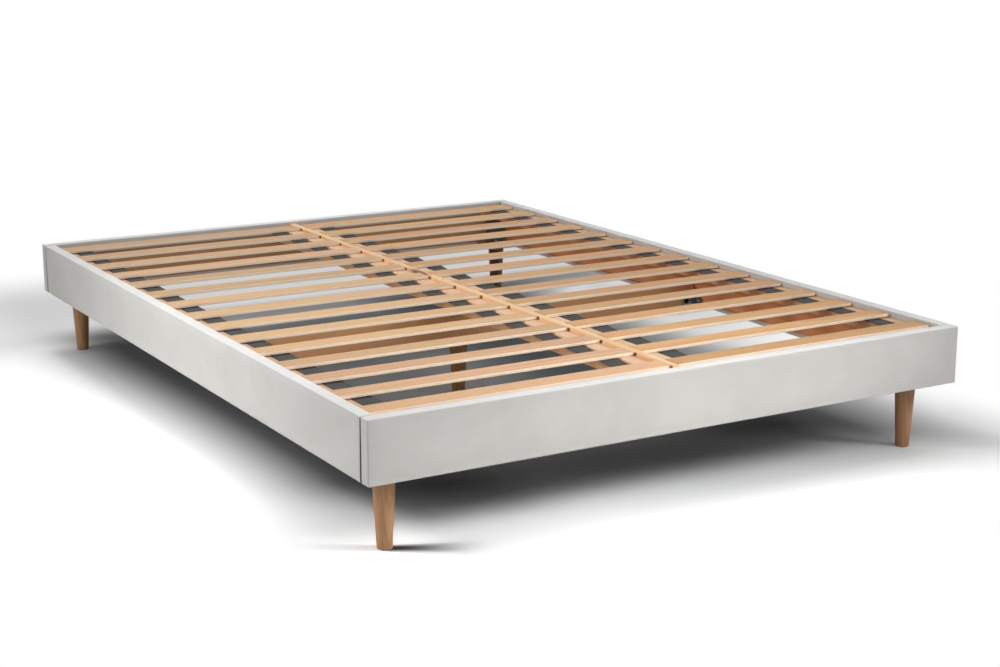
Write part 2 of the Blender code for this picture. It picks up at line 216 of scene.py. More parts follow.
# Small steel
SCREW_HEAD_RADIUS = 0.0046
SCREW_HEAD_HEIGHT = 0.0019
SCREW_NECK_SHARE = 0.98
SCREW_SINK = 0.0002
SCREW_STEPS = 28
SCREW_DOME_STEPS = 6
RECESS_WIDTH = 0.0008
RECESS_DEPTH = 0.0011
RECESS_SPAN_SHARE = 1.15
BOLT_SCALE = 1.5
BOLT_TURN_DEG = 20
BEAM_SCREW_TURN_DEG = 65
STAPLE_WIDTH = 0.0105
STAPLE_WIRE = 0.0009
STAPLE_PROUD = 0.0004
STAPLE_DIVE = 0.0004
STAPLE_POWER = 6
STAPLE_STEPS = 14
STAPLE_SHARES = (0.3, 0.7)
STAPLE_STRAY = 0.006
STAPLE_STRAY_DEG = 12
SCREW_HOLE_INSET = 0.012
END_FLANGE = 0.052
SIDE_FLANGE = 0.034
STEEL_THICKNESS = 0.003
STEEL_EDGE = 0.0005
STEEL_EDGE_DEG = 40
STEEL_WELD = 0.00002
SMALL_SHARP_DEG = 40

# Legs and studs
LEG_STEPS = 96
LEG_RINGS = 24
LEG_SHOULDER = 0.0014
LEG_TOP_RADIUS = 0.0225
LEG_FOOT_RADIUS = 0.0150
LEG_FOOT_ROUNDING = 0.0030
LEG_FOOT_STEPS = 6
LEG_TOP_GAP = 0.0003
LEG_SHARP_DEG = 50
STUD_RADIUS = 0.0040
STUD_STEPS = 24
STUD_BURIED = 0.002
STUD_SHARP_DEG = 70
THREAD_PITCH = 0.00125
THREAD_DEPTH = 0.0004

# Fabric: the ground, and for each pattern its tone, where it starts and is full, and its share
YARN_PITCH = 0.0011
FABRIC_GROUND = (0.590, 0.572, 0.545)
FABRIC_LAYERS = {
    "clouds": ((0.625, 0.608, 0.582), 0.30, 0.70, 1.0),
    "nap": ((0.650, 0.636, 0.614), 0.45, 0.75, 0.30),
    "slubs": ((0.470, 0.450, 0.425), 0.90, 0.62, 0.30),
    "weave": ((0.430, 0.412, 0.390), -0.2, -1.0, 0.25),
    # top: painted light, a lighter tone on the faces that look up
    "top": ((0.760, 0.752, 0.738), 0.55, 0.95, 0.9),
}
# Painted shade in the seams between the rails
SEAM_SHADE_TONE = (0.060, 0.045, 0.036)

# Webbing, in the same way
WEB_GROUND = (0.028, 0.027, 0.026)
WEB_LAYERS = {
    "weave": ((0.072, 0.069, 0.066), -0.9, 1.1, 1.0),
    "wear": ((0.115, 0.110, 0.104), 0.50, 0.80, 0.45),
    "fuzz": ((0.100, 0.096, 0.092), 0.55, 0.80, 0.4),
}
# Painted shadow of the slats on the outer tapes
WEB_SHADOW_TONE = (0.016, 0.007, 0.004)

# Steels: the clean tone, the dull tone and the roughness
STEELS = {
    "bracket_zinc": ((0.36, 0.39, 0.37), (0.25, 0.275, 0.26), 0.36),
    "screw_zinc": ((0.62, 0.62, 0.60), (0.45, 0.45, 0.43), 0.28),
    "bolt_black": ((0.030, 0.029, 0.028), (0.018, 0.017, 0.017), 0.5),
}

# Wood in general. A draw is a board's own number, or its seed.
LOG_SHIFTS = (7.31, 1.73, 0.91)
DRAW_SPREADS = {"pith": 3.7, "sway": 91.0, "tone": 37.0, "hue": 53.0}
KNOT_CELLS = (2.1, 9.0, 9.0)
KNOT_EDGES = {"near": (0.34, 0.04), "rim": (0.14, 0.08), "core": (0.095, 0.060)}
KNOT_TONE = (0.17, 0.075, 0.03)
PITH_LEAN = 0.10
PITH_SWAY = 0.045
PITH_RISE = 0.06
PITH_SPACING = 0.36
RING_DRIFT = 0.016
RING_BEND = 0.012
LATE_WOOD = ((0.35, 0.92), (1.0, 0.94))
GRAIN_LAYERS = {"streaks": (0.48, 0.80, 0.55), "fibres": (0.52, 0.80, 0.28)}
PALE_FIBRES = (0.50, 0.25, 0.35)
WARM_CAST, COOL_CAST = (1.03, 0.97, 0.98), (0.99, 1.00, 0.86)
# Painted shade beside each slat's corner
SLAT_SHADE_TONE = (0.10, 0.03, 0.012)

# Woods, by material name
# The slats' painted_face_tone is a painted highlight on their edges
SLAT_WOOD = {"along": "X", "roughness": 0.55, "painted_face_axis": 1, "painted_face_tone": (1.0, 0.84, 0.66)}
LEG_WOOD = {"along": "Z", "pitch": 0.0045, "knot_share": 0.0, "tone_spread": 0.06}
BOARD_WOOD = {"along": "Y", "knot_share": 0.2, "painted_face_axis": 0}
# seam_shade_ends is painted shade by the corner seam
SIDE_CORE_WOOD = {
    "along": "Y", "early": (0.78, 0.34, 0.16), "late": (0.44, 0.155, 0.060),
    "knot_share": 0.35, "saw": 0.5, "seam_shade_ends": True,
}
END_CORE_WOOD = {
    "along": "X", "early": (0.56, 0.34, 0.19), "late": (0.40, 0.21, 0.10), "knot_share": 0.3, "saw": 0.4
}
WOODS = {
    "slat_pine_grain": {"early": (0.62, 0.40, 0.235), "late": (0.44, 0.240, 0.118), **SLAT_WOOD},
    "warm_slat_pine_grain": {"early": (0.63, 0.365, 0.185), "late": (0.440, 0.215, 0.092), **SLAT_WOOD},
    "leg_beech_grain": {
        "early": (0.52, 0.295, 0.160), "late": (0.37, 0.190, 0.092), "roughness": 0.45, **LEG_WOOD
    },
    # A lighter copy of the leg beech for the centre leg: painted light
    "centre_leg_lit_grain": {
        "early": (0.88, 0.49, 0.24), "late": (0.68, 0.34, 0.14), "roughness": 0.5, **LEG_WOOD
    },
    "core_pine_left": {"seed": 3.0, **SIDE_CORE_WOOD},
    "core_pine_right": {"seed": 4.0, **SIDE_CORE_WOOD},
    "core_pine_foot": {"seed": 5.0, **END_CORE_WOOD},
    "core_pine_head": {"seed": 6.0, **END_CORE_WOOD},
    # The ledges' painted_face_tone is painted shade on their sides
    "ledge_pine_grain": {
        "early": (0.72, 0.46, 0.31), "late": (0.55, 0.31, 0.19),
        "painted_face_tone": (0.56, 0.27, 0.14), **BOARD_WOOD,
    },
    # The spine's painted_face_tone is painted light on its sides
    "spine_pine_grain": {
        "early": (0.74, 0.52, 0.35), "late": (0.58, 0.36, 0.21), "painted_face_tone": (0.88, 0.51, 0.27),
        "slat_shade_marks": True, **BOARD_WOOD,
    },
    "beam_pine_grain": {
        "along": "X", "early": (0.66, 0.38, 0.20), "late": (0.46, 0.24, 0.11),
        "seed": 11.0, "knot_share": 0.35, "saw": 0.3,
    },
}

# Bump heights, and how squarely a face has to look along an axis
BUMPS = {
    "weave": 0.00012, "nap": 0.0008, "grain": 0.00035, "saw": 0.0006, "webbing": 0.00025, "rolling": 0.00008
}
FACING_SHARE = 0.6
FACING_SHARES = (0.45, 0.75)

SIDES = {"left": -1, "right": 1}
ENDS = {"foot": -1, "head": 1}

for startup_object in list(bpy.data.objects):
    bpy.data.objects.remove(startup_object, do_unlink=True)

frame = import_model()
chance = random.Random(14)


class Graph:
    """The nodes of a material or the world, with a few short words for the ones used here."""

    def __init__(self, owner):
        owner.use_nodes = True
        self.owner = owner
        self.nodes = owner.node_tree.nodes

    def found(self, kind):
        return next(n for n in self.nodes if n.type == kind)

    def feed(self, socket, value):
        if isinstance(value, bpy.types.NodeSocket):
            self.owner.node_tree.links.new(value, socket)
        elif socket.type == "RGBA" and len(value) == 3:
            socket.default_value = (*value, 1.0)
        else:
            socket.default_value = value

    def node(self, kind, inputs=None, **settings):
        made = self.nodes.new("ShaderNode" + kind)
        for key, value in settings.items():
            setattr(made, key, value)
        for key, value in (inputs or {}).items():
            self.feed(made.inputs[key], value)
        return made

    def math(self, operation, *values):
        return self.node("Math", dict(enumerate(values)), operation=operation).outputs[0]

    def chain(self, operation, values):
        return functools.reduce(functools.partial(self.math, operation), values)

    def times(self, *values):
        return self.chain("MULTIPLY", values)

    def plus(self, *values):
        return self.chain("ADD", values)

    def most(self, *values):
        return self.chain("MAXIMUM", values)

    def minus(self, first, second):
        return self.math("SUBTRACT", first, second)

    def size(self, value):
        return self.math("ABSOLUTE", value)

    def wave(self, value, length):
        return self.math("SINE", self.times(value, 2 * math.pi / length))

    def vector(self, operation, *values):
        made = self.node("VectorMath", dict(enumerate(values)), operation=operation)
        return made.outputs["Value" if operation in ("LENGTH", "DOT_PRODUCT") else "Vector"]

    def split(self, vector):
        return self.node("SeparateXYZ", {"Vector": vector}).outputs

    def join(self, x, y, z):
        return self.node("CombineXYZ", {"X": x, "Y": y, "Z": z}).outputs[0]

    def noise(self, vector, scale, detail=2.0, roughness=0.5):
        """Noise at one scale, or at a scale for each axis."""
        if isinstance(scale, tuple):
            vector, scale = self.vector("MULTIPLY", vector, scale), 1.0
        inputs = {"Vector": vector, "Scale": scale, "Detail": detail, "Roughness": roughness}
        return self.node("TexNoise", inputs).outputs[0]

    def step(self, value, low, high, out_low=0.0, out_high=1.0):
        """A smooth step from one value to another, as the input goes from low to high."""
        limits = {"From Min": low, "From Max": high, "To Min": out_low, "To Max": out_high}
        made = self.node("MapRange", {"Value": value, **limits}, interpolation_type="SMOOTHSTEP")
        return made.outputs["Result"]

    def mix(self, first, second, share, blend="MIX"):
        inputs = {0: share, 6: first, 7: second}
        made = self.node("Mix", inputs, data_type="RGBA", blend_type=blend, clamp_factor=True)
        return made.outputs[2]

    def layer(self, colour, tone, pattern, start, full, share=1.0):
        """Lays a tone over a colour, from none where the pattern starts to its share."""
        return self.mix(colour, tone, self.step(pattern, start, full, 0.0, share))

    def layers(self, colour, table, **patterns):
        for name, pattern in patterns.items():
            tone, start, full, share = table[name]
            colour = self.layer(colour, tone, pattern, start, full, share)
        return colour

    def bump(self, height, distance, strength, under=None):
        inputs = {"Height": height, "Strength": strength, "Distance": distance}
        if under is not None:
            inputs["Normal"] = under
        return self.node("Bump", inputs).outputs[0]

    def finish(self, colour, roughness, normal, **constants):
        """Feeds the shader. The constants go on the shader's own sockets."""
        sockets = self.found("BSDF_PRINCIPLED").inputs
        self.feed(sockets["Base Color"], colour)
        self.feed(sockets["Roughness"], roughness)
        self.feed(sockets["Normal"], normal)
        for key, value in constants.items():
            sockets[key.replace("_", " ")].default_value = value
        return self.owner

    def show(self, surface):
        """Shows another shader in place of the material's own."""
        self.feed(self.found("OUTPUT_MATERIAL").inputs["Surface"], surface)
        return self.owner

    def place(self):
        return self.node("TexCoord").outputs["Object"]

    def facing(self):
        """The size of the unbumped normal along X, Y and Z."""
        normal = self.node("NewGeometry").outputs["Normal"]
        return self.split(self.vector("ABSOLUTE", normal))


def material_graph(name):
    return Graph(bpy.data.materials.new(name))


def in_seam(g, x, y, z):
    """1 on the fabric between the end of a side rail and the end rail beside it, 0 elsewhere: where painted
    shade darkens the seam.
    """
    low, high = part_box("right_rail_cover")
    thickness = high.x - low.x
    beside = g.size(g.minus(g.size(y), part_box("head_rail_cover")[0].y))
    depth = g.minus(high.x, g.size(x))
    return g.times(
        g.step(beside, SEAM_REACH, SEAM_REACH * 0.9),
        g.step(depth, SEAM_SKIN * 0.6, SEAM_SKIN),
        g.step(depth, thickness, thickness - SEAM_SKIN),
        g.step(g.facing()[1], *FACING_SHARES),
        g.step(z, high.z - SEAM_SKIN, high.z - 5 * SEAM_SKIN),
    )


def before_slat(g, y, reach):
    """1 just in front of each slat's edge towards the foot, falling to 0 at a reach from it."""
    first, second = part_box("slat_left_01")[0].y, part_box("slat_left_02")[0].y
    pitch = second - first
    above_zero = 40.0
    turns = g.plus(g.math("DIVIDE", g.minus(second, y), pitch), above_zero)
    off = g.times(g.math("FRACT", turns), pitch)
    return g.step(off, reach, reach * 0.7)


def fabric_finish():
    """Tight flat weave of a pale warm grey yarn with a soft nap and faint clouds.

    Its faces that look up, the top of each board, are painted lighter: painted light.
    """
    g = material_graph("rail_fabric_weave")
    place = g.place()
    x, y, z = g.split(place)
    waves = [g.wave(axis, YARN_PITCH) for axis in (x, y, z)]
    weave = g.plus(*(g.times(waves[i], waves[(i + 1) % 3]) for i in range(3)))
    slubs = g.plus(g.noise(place, (90.0, 90.0, 1400.0)), g.noise(place, (1400.0, 1400.0, 90.0)))
    clouds = g.noise(place, 7.0, 4.0, 0.55)
    nap = g.noise(place, (16.0, 16.0, 42.0), 3.0, 0.6)
    # top paints light on the faces that look up
    colour = g.layers(FABRIC_GROUND, FABRIC_LAYERS, clouds=clouds, nap=nap, slubs=slubs, weave=weave,
                      top=g.facing()[2])
    # Painted shade in the seams between the rails
    colour = g.mix(colour, SEAM_SHADE_TONE, g.times(in_seam(g, x, y, z), 0.9))
    height = g.plus(weave, g.times(slubs, 1.2))
    normal = g.bump(height, BUMPS["weave"], 0.55, g.bump(nap, BUMPS["nap"], 0.35))
    roughness = g.step(slubs, 0.7, 1.3, 0.94, 0.82)
    return g.finish(
        colour, roughness, normal, Sheen_Weight=0.18, Sheen_Roughness=0.45, Specular_IOR_Level=0.22
    )


def knots(g, log, share):
    """Shares from 0 to 1: where a knot bends the rings, its rim and its core."""
    inputs = {"Vector": g.vector("MULTIPLY", log, KNOT_CELLS), "Scale": 1.0, "Randomness": 1.0}
    cells = g.node("TexVoronoi", inputs)
    chosen = g.step(g.split(cells.outputs["Color"])[0], 1.0 - share, 1.0 - share + 0.02)
    distance = cells.outputs["Distance"]
    return [g.times(g.step(distance, *KNOT_EDGES[part]), chosen) for part in ("near", "rim", "core")]


def late_wood(g, log, length, across, depth, draw, knot_near, pitch):
    """1 on the late wood of each growth ring, around a pith line beside the board."""
    drift = g.noise(log, (1.3, 6.0, 6.0))
    pith = g.noise(g.join(g.times(draw, DRAW_SPREADS["pith"]), 0.0, 0.0), 9.0, 0.0)
    lean = g.times(g.minus(pith, 0.5), PITH_LEAN)
    sway = g.times(g.math("SINE", g.times(draw, DRAW_SPREADS["sway"])), PITH_SWAY)
    from_pith = g.math("PINGPONG", g.plus(across, sway, g.times(length, lean)), PITH_SPACING)
    above_pith = g.plus(depth, g.times(pith, PITH_RISE))
    radius = g.vector("LENGTH", g.join(0.0, from_pith, above_pith))
    radius = g.plus(radius, g.times(drift, RING_DRIFT), g.times(knot_near, RING_BEND))
    turn = g.math("FRACT", g.math("DIVIDE", radius, pitch))
    rise, fall = LATE_WOOD
    return g.times(g.step(turn, *rise), g.step(turn, *fall))


def board_cast(g, log, draw, tone_spread):
    """A board's own lightness and hue, with softly changing patches of hue."""
    tone = g.noise(g.join(g.times(draw, DRAW_SPREADS["tone"]), draw, 0.0), 3.0, 0.0)
    tone = g.step(tone, 0.30, 0.70, 1.0 - tone_spread, 1.0 + tone_spread * 0.4)
    own_hue = g.noise(g.join(draw, g.times(draw, DRAW_SPREADS["hue"]), 0.0), 3.0, 0.0)
    patch_hue = g.noise(log, (4.0, 30.0, 30.0))
    hue = g.plus(g.times(own_hue, 0.5), g.times(patch_hue, 0.5))
    cast = g.mix(WARM_CAST, COOL_CAST, g.step(hue, 0.40, 0.60))
    return g.vector("MULTIPLY", cast, g.join(tone, tone, tone))


def wood_finish(name, along, early, late, seed=None, knot_share=0.25, saw=0.0, pitch=0.0032,
                roughness=0.58, tone_spread=0.14, painted_face_axis=None, painted_face_tone=None, slat_shade_marks=False,
                seam_shade_ends=False):
    """Wood with growth rings, fibres, knots and saw marks.

    Every board draws its own stretch of the log. A seed moves a single board, and with no seed
    the place comes from the mesh attribute log_place. The faces that look along
    painted_face_axis take painted_face_tone, painted light or shade. slat_shade_marks paints
    shade on the wood's upright faces beside each slat's corner, and seam_shade_ends paints shade
    on a side board by its corner seam.
    """
    g = material_graph(name)
    x, y, z = g.split(g.place())
    run, side, rise = {"X": (x, y, z), "Y": (y, x, z), "Z": (z, x, y)}[along]
    draw = seed
    if seed is None:
        draw = g.node("Attribute", attribute_name="log_place").outputs["Fac"]
    length, across, depth = [
        g.plus(axis, g.times(draw, shift)) for axis, shift in zip((run, side, rise), LOG_SHIFTS)
    ]
    log = g.join(length, across, depth)
    knot_near, knot_rim, knot_core = knots(g, log, knot_share)
    ring = late_wood(g, log, length, side, rise, draw, knot_near, pitch)
    fibres = g.noise(log, (9.0, 950.0, 950.0), 3.0, 0.65)
    streaks = g.noise(log, (1.6, 60.0, 60.0), 3.0, 0.6)

    colour = g.mix(early, late, g.times(ring, 0.62))
    colour = g.layer(colour, late, streaks, *GRAIN_LAYERS["streaks"])
    colour = g.layer(colour, late, fibres, *GRAIN_LAYERS["fibres"])
    lighter = [min(1.0, 1.10 * part) for part in early]
    colour = g.layer(colour, lighter, fibres, *PALE_FIBRES)
    colour = g.mix(colour, board_cast(g, log, draw, tone_spread), 1.0, "MULTIPLY")
    # Painted light or shade on the faces that look along painted_face_axis
    if painted_face_axis is not None:
        sawn = g.math("GREATER_THAN", g.facing()[painted_face_axis], FACING_SHARE)
        colour = g.mix(colour, painted_face_tone, g.times(sawn, 0.92))
    # Painted shade on the upright faces just before each slat's corner
    if slat_shade_marks:
        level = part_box("slat_left_01")[0].z
        upright = g.math("GREATER_THAN", g.facing()[0], FACING_SHARE)
        rubbed = g.times(before_slat(g, y, SLAT_SHADE_REACH), g.step(z, level - SLAT_SHADE_FADE, level), upright)
        colour = g.mix(colour, SLAT_SHADE_TONE, g.times(rubbed, 0.9))
    # Painted shade on a side board by its corner seam
    if seam_shade_ends:
        seam_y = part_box("head_rail_cover")[0].y
        by_seam = g.step(g.size(y), seam_y - 1.6 * SEAM_REACH, seam_y - SEAM_REACH)
        colour = g.mix(colour, SEAM_SHADE_TONE, g.times(by_seam, 0.9))
    colour = g.mix(colour, [0.55 * part for part in late], g.times(knot_rim, 0.55))
    colour = g.mix(colour, KNOT_TONE, g.times(knot_core, 0.85))
    normal = g.bump(g.plus(g.times(fibres, 0.7), g.times(ring, 0.35)), BUMPS["grain"], 0.5)
    if saw:
        slant = g.plus(length, g.times(g.plus(side, rise), 0.42))
        teeth = g.noise(g.join(g.times(slant, 210.0), 0.0, 0.0), 1.0, 2.0, 0.7)
        patches = g.noise(log, (5.0, 9.0, 9.0))
        mark = g.times(g.step(teeth, 0.52, 0.66), g.step(patches, 0.38, 0.62))
        colour = g.mix(colour, [0.62 * part for part in late], g.times(mark, saw))
        normal = g.bump(mark, BUMPS["saw"], 0.6, normal)
    rough = g.step(ring, 0.0, 1.0, roughness + 0.06, roughness - 0.06)
    return g.finish(colour, rough, normal, Specular_IOR_Level=0.22)


def webbing_finish():
    """Dark polypropylene webbing in a herringbone, a little paler where the yarns stand up.

    The outer tapes get a painted shadow just in front of each slat's foot-side edge.
    """
    g = material_graph("webbing_herringbone")
    place = g.place()
    x, y, _ = g.split(place)
    diagonal = g.plus(g.times(g.math("PINGPONG", x, WEB_ZIGZAG), 1.1), y)
    weave = g.plus(g.wave(diagonal, WEB_RIB_PITCH), g.times(g.wave(x, WEB_WARP_PITCH), 0.5))
    wear = g.noise(place, (60.0, 14.0, 60.0), 3.0, 0.6)
    fuzz = g.noise(place, 900.0, 2.0, 0.6)
    colour = g.layers(WEB_GROUND, WEB_LAYERS, weave=weave, wear=wear, fuzz=fuzz)
    # Painted shadow on the outer tapes just in front of each slat
    outer = g.step(g.size(x), WEB_SHADOW_FROM, WEB_SHADOW_FROM + WEB_SHADOW_SPAN)
    colour = g.mix(colour, WEB_SHADOW_TONE, g.times(before_slat(g, y, WEB_SHADOW_SPAN), outer))
    roughness = g.step(wear, 0.3, 0.8, 0.72, 0.88)
    normal = g.bump(weave, BUMPS["webbing"], 0.7)
    return g.finish(colour, roughness, normal, Specular_IOR_Level=0.3)


def steel_finish(name, base, dull, roughness):
    """Plated steel with fine rolling lines, clouded plating and dull rubbed spots."""
    g = material_graph(name)
    place = g.place()
    lines = g.noise(place, (30.0, 30.0, 900.0), 3.0, 0.6)
    clouds = g.noise(place, 55.0, 3.0, 0.55)
    spots = g.noise(place, 260.0, 2.0, 0.6)
    colour = g.layer(base, dull, clouds, 0.35, 0.70)
    colour = g.layer(colour, [0.45 * part for part in dull], spots, 0.62, 0.78, 0.5)
    rough = g.step(clouds, 0.3, 0.7, roughness, roughness + 0.18)
    rough = g.plus(rough, g.step(lines, 0.3, 0.7, -0.04, 0.04))
    return g.finish(colour, rough, g.bump(lines, BUMPS["rolling"], 0.4), Metallic=1.0)


def mesh_of(name, shape):
    """Makes a mesh from a bmesh, and frees it."""
    mesh = bpy.data.meshes.new(name)
    shape.to_mesh(mesh)
    shape.free()
    return mesh


def placed(name, data):
    """A new object of the scene."""
    obj = bpy.data.objects.new(name, data)
    bpy.context.scene.collection.objects.link(obj)
    return obj


def unevenness(first, second, scales, sign=1):
    """Smooth noise over two places. scales are theirs, and the layer of the noise."""
    return noise.noise(Vector((first * scales[0], second * scales[1], scales[2] * sign)))


def cuts(low, high, rounding, spacing, round_steps=3):
    """The places of the cuts along one side of a block: a few in each rounded edge, even between."""
    flat_low, flat_high = low + rounding, high - rounding
    count = max(1, round((flat_high - flat_low) / spacing))
    edge = [rounding * step / round_steps for step in range(round_steps)]
    middle = [flat_low + (flat_high - flat_low) * step / count for step in range(count + 1)]
    return [low + place for place in edge] + middle + [high - place for place in reversed(edge)]


def block(low, high, rounding, spacings, keep=None):
    """A box of quads with rounded edges, as a bmesh. keep(middle) may leave faces out."""
    places = [cuts(low[i], high[i], rounding, spacings[i]) for i in range(3)]
    shape = bmesh.new()
    corners = {}

    def corner(index):
        if index not in corners:
            point = Vector(places[i][index[i]] for i in range(3))
            inner = Vector(min(max(point[i], low[i] + rounding), high[i] - rounding) for i in range(3))
            out = (point - inner).normalized()
            corners[index] = shape.verts.new(inner + out * rounding)
        return corners[index]

    def face(axis, end, a, b):
        u, v = (axis + 1) % 3, (axis + 2) % 3
        loop = []
        for step_u, step_v in ((0, 0), (1, 0), (1, 1), (0, 1)):
            index = {axis: end, u: a + step_u, v: b + step_v}
            loop.append((index[0], index[1], index[2]))
        middle = sum((Vector(places[i][p[i]] for i in range(3)) for p in loop), Vector()) / 4
        if keep is None or keep(middle):
            shape.faces.new([corner(p) for p in (loop if end else reversed(loop))])

    for axis in range(3):
        for end in (0, len(places[axis]) - 1):
            for a in range(len(places[(axis + 1) % 3]) - 1):
                for b in range(len(places[(axis + 2) % 3]) - 1):
                    face(axis, end, a, b)
    return shape


def piece(name, shape, finish, body, replaced=()):
    """Makes the bmesh an object that rides on a body and stands for the nodes given."""
    mesh = mesh_of(name, shape)
    obj = placed(name, mesh)
    mesh.materials.append(finish)
    mesh.shade_smooth()
    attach(obj, body)
    if replaced:
        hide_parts(*replaced)
    return obj


def apply_modifiers(obj):
    graph = bpy.context.evaluated_depsgraph_get()
    made = bpy.data.meshes.new_from_object(obj.evaluated_get(graph))
    obj.modifiers.clear()
    obj.data = made


def sharpen(obj, degrees):
    obj.data.set_sharp_from_angle(angle=math.radians(degrees))


def set_log_place(obj, value):
    attribute = obj.data.attributes.new("log_place", "FLOAT", "POINT")
    attribute.data.foreach_set("value", [value] * len(obj.data.vertices))


def board(node, finish, body, rounding, spacings, bow=0.0, crook=0.0, along=0):
    """A sawn board in its CAD node's box, with a slight bow and crook of its own."""
    low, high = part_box(node)
    shape = block(low, high, rounding, spacings)
    middle, reach = (low + high) / 2, (high - low) / 2
    rise, sway = chance.uniform(0.2, 1.0) * bow, chance.uniform(-1.0, 1.0) * crook
    lean, place = chance.uniform(-1.0, 1.0) * crook, chance.uniform(0.0, 1.0)
    for vertex in shape.verts:
        share = (vertex.co[along] - middle[along]) / reach[along]
        vertex.co.z += rise * (1 - share * share)
        vertex.co[1 - along] += sway * (1 - share * share) + lean * share
    set_log_place(piece(f"pine_{node}", shape, finish, body, [node]), place)


def cover(rail, side_axis, sign, window, notch, finish):
    """A fabric sleeve stretched round a board, open on the inner face where the board shows.

    side_axis is the axis that the rail's outer face looks along, and sign the way it looks.
    window is the low and high level of the opening and its end along the rail, and notch the
    place along the rail past which the bracket sits, where the bottom hem stops short.
    """
    low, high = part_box(f"{rail}_rail_cover")
    core_low, core_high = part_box(f"{rail}_rail_core")
    core_inner = core_low[side_axis] if sign > 0 else core_high[side_axis]
    outer = high[side_axis] if sign > 0 else low[side_axis]
    along = 1 - side_axis

    def keep(middle):
        depth_in = sign * (core_inner - middle[side_axis])
        at = abs(middle[along])
        if depth_in <= -TOUCH or at > window["end"]:
            return True
        if window["low"] < middle.z < window["high"]:
            return False
        return not (at > notch and middle.z < window["low"])

    spacings = [CLOTH_GIRTH_STEP] * 3
    spacings[along] = CLOTH_STEP
    shape = block(low, high, CLOTH_ROUNDING, spacings, keep)
    centre, reach = (low + high) / 2, (high - low) / 2
    for vertex in shape.verts:
        point = vertex.co
        on_outer = abs(point[side_axis] - outer) < CLOTH_ROUNDING
        up = (point.z - centre.z) / reach.z
        run = (point[along] - centre[along]) / reach[along]
        if on_outer:
            point[side_axis] += sign * outer_swell(point, along, sign, up, run)
        if side_axis == 0 and abs(run) > SLIT_FROM_SHARE:
            open_by = SLIT_TOP + (SLIT_BOTTOM - SLIT_TOP) * (0.5 - 0.5 * up)
            point[along] -= math.copysign(open_by, run)
        pull = 0.5 + 0.5 * math.cos(2 * math.pi * point[along] / STAPLE_PITCH)
        fade = max(0.0, 1 - (point.z - low.z) / PUCKER_LENGTH)
        if on_outer:
            point[side_axis] -= sign * PUCKER * pull * fade * fade * (1 - abs(run) ** END_POWER)
        if point.z > high.z - CLOTH_ROUNDING:
            wave = unevenness(point[along], 1, TOP_WAVE_NOISE, sign)
            point.z += TOP_WAVE * (0.4 + wave) * (1 - abs(run) ** END_POWER)
    obj = piece(f"fabric_{rail}_rail", shape, finish, "frame", [f"{rail}_rail_cover"])
    solid = obj.modifiers.new("cloth_thickness", "SOLIDIFY")
    solid.thickness = CLOTH_THICKNESS
    solid.offset = -1.0
    solid.use_even_offset = True
    apply_modifiers(obj)
    return obj


def outer_swell(point, along, sign, up, run):
    """How far the cloth stands out from a rail's outer face: its crown and two sizes of ripple."""
    power_up, power_along = CROWN_POWERS
    swell = CROWN * (1 - up ** power_up) * (1 - run ** power_along)
    ripple = unevenness(point[along], point.z, RIPPLE_NOISE, sign)
    fine = unevenness(point[along], point.z, FINE_RIPPLE_NOISE, sign)
    even, uneven = RIPPLE_SHARES
    return swell * (even + uneven * ripple) + FINE_RIPPLE * fine


def lathe(profile, steps, rest=None):
    """A closed turned shape from a profile of (radius, height) that starts and ends on the axis."""
    shape = bmesh.new()
    rings = []
    angles = [2 * math.pi * step / steps for step in range(steps)]
    for radius, height in profile:
        if radius == 0.0:
            rings.append([shape.verts.new((0, 0, height))] * steps)
            continue
        places = [(radius * math.cos(angle), radius * math.sin(angle), height) for angle in angles]
        rings.append([shape.verts.new(place) for place in places])
    for upper, lower in zip(rings, rings[1:]):
        for step in range(steps):
            after = (step + 1) % steps
            loop = [upper[step], lower[step], lower[after], upper[after]]
            kept = [v for i, v in enumerate(loop) if v not in loop[:i]]
            if len(kept) > 2:
                shape.faces.new(kept)
    if rest is not None:
        bmesh.ops.translate(shape, vec=rest, verts=shape.verts)
    return shape


def leg_profile(top):
    """The wooden leg, from the middle of its top down to the middle of its foot."""
    points = [(0.0, top), (LEG_TOP_RADIUS * 0.6, top), (LEG_TOP_RADIUS - LEG_SHOULDER, top)]
    points += [(LEG_TOP_RADIUS - LEG_SHOULDER * 0.3, top - LEG_SHOULDER * 0.3)]
    start, end = top - LEG_SHOULDER, LEG_FOOT_ROUNDING
    for ring in range(LEG_RINGS + 1):
        share = ring / LEG_RINGS
        radius = LEG_TOP_RADIUS + (LEG_FOOT_RADIUS - LEG_TOP_RADIUS) * share
        points.append((radius, start + (end - start) * share))
    for step in range(1, LEG_FOOT_STEPS + 1):
        angle = math.pi / 2 * step / LEG_FOOT_STEPS
        radius = LEG_FOOT_RADIUS - LEG_FOOT_ROUNDING * (1 - math.cos(angle))
        points.append((radius, LEG_FOOT_ROUNDING * (1 - math.sin(angle))))
    return points + [(0.0, 0.0)]


def thread_profile(top, bottom):
    """A threaded stud from its chamfered tip down into the leg."""
    points = [(0.0, top), (STUD_RADIUS - 2 * THREAD_DEPTH, top)]
    height = top - THREAD_DEPTH
    while height > bottom + THREAD_PITCH:
        points.append((STUD_RADIUS, height))
        points.append((STUD_RADIUS - THREAD_DEPTH, height - THREAD_PITCH / 2))
        height -= THREAD_PITCH
    return points + [(STUD_RADIUS - THREAD_DEPTH, bottom), (0.0, bottom)]


def leg(node, wood, steel):
    """A turned leg, and its stud as a piece of its own."""
    low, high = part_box(node)
    rest = Vector(((low.x + high.x) / 2, (low.y + high.y) / 2, 0.0))
    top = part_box("left_rail_cover")[0].z - LEG_TOP_GAP
    turned = lathe(leg_profile(top), LEG_STEPS, rest)
    obj = piece(f"beech_{node}", turned, wood, "frame", [node])
    sharpen(obj, LEG_SHARP_DEG)
    set_log_place(obj, chance.uniform(0.0, 1.0))
    thread = lathe(thread_profile(high.z, top - STUD_BURIED), STUD_STEPS, rest)
    sharpen(piece(f"stud_{node}", thread, steel, "frame"), STUD_SHARP_DEG)


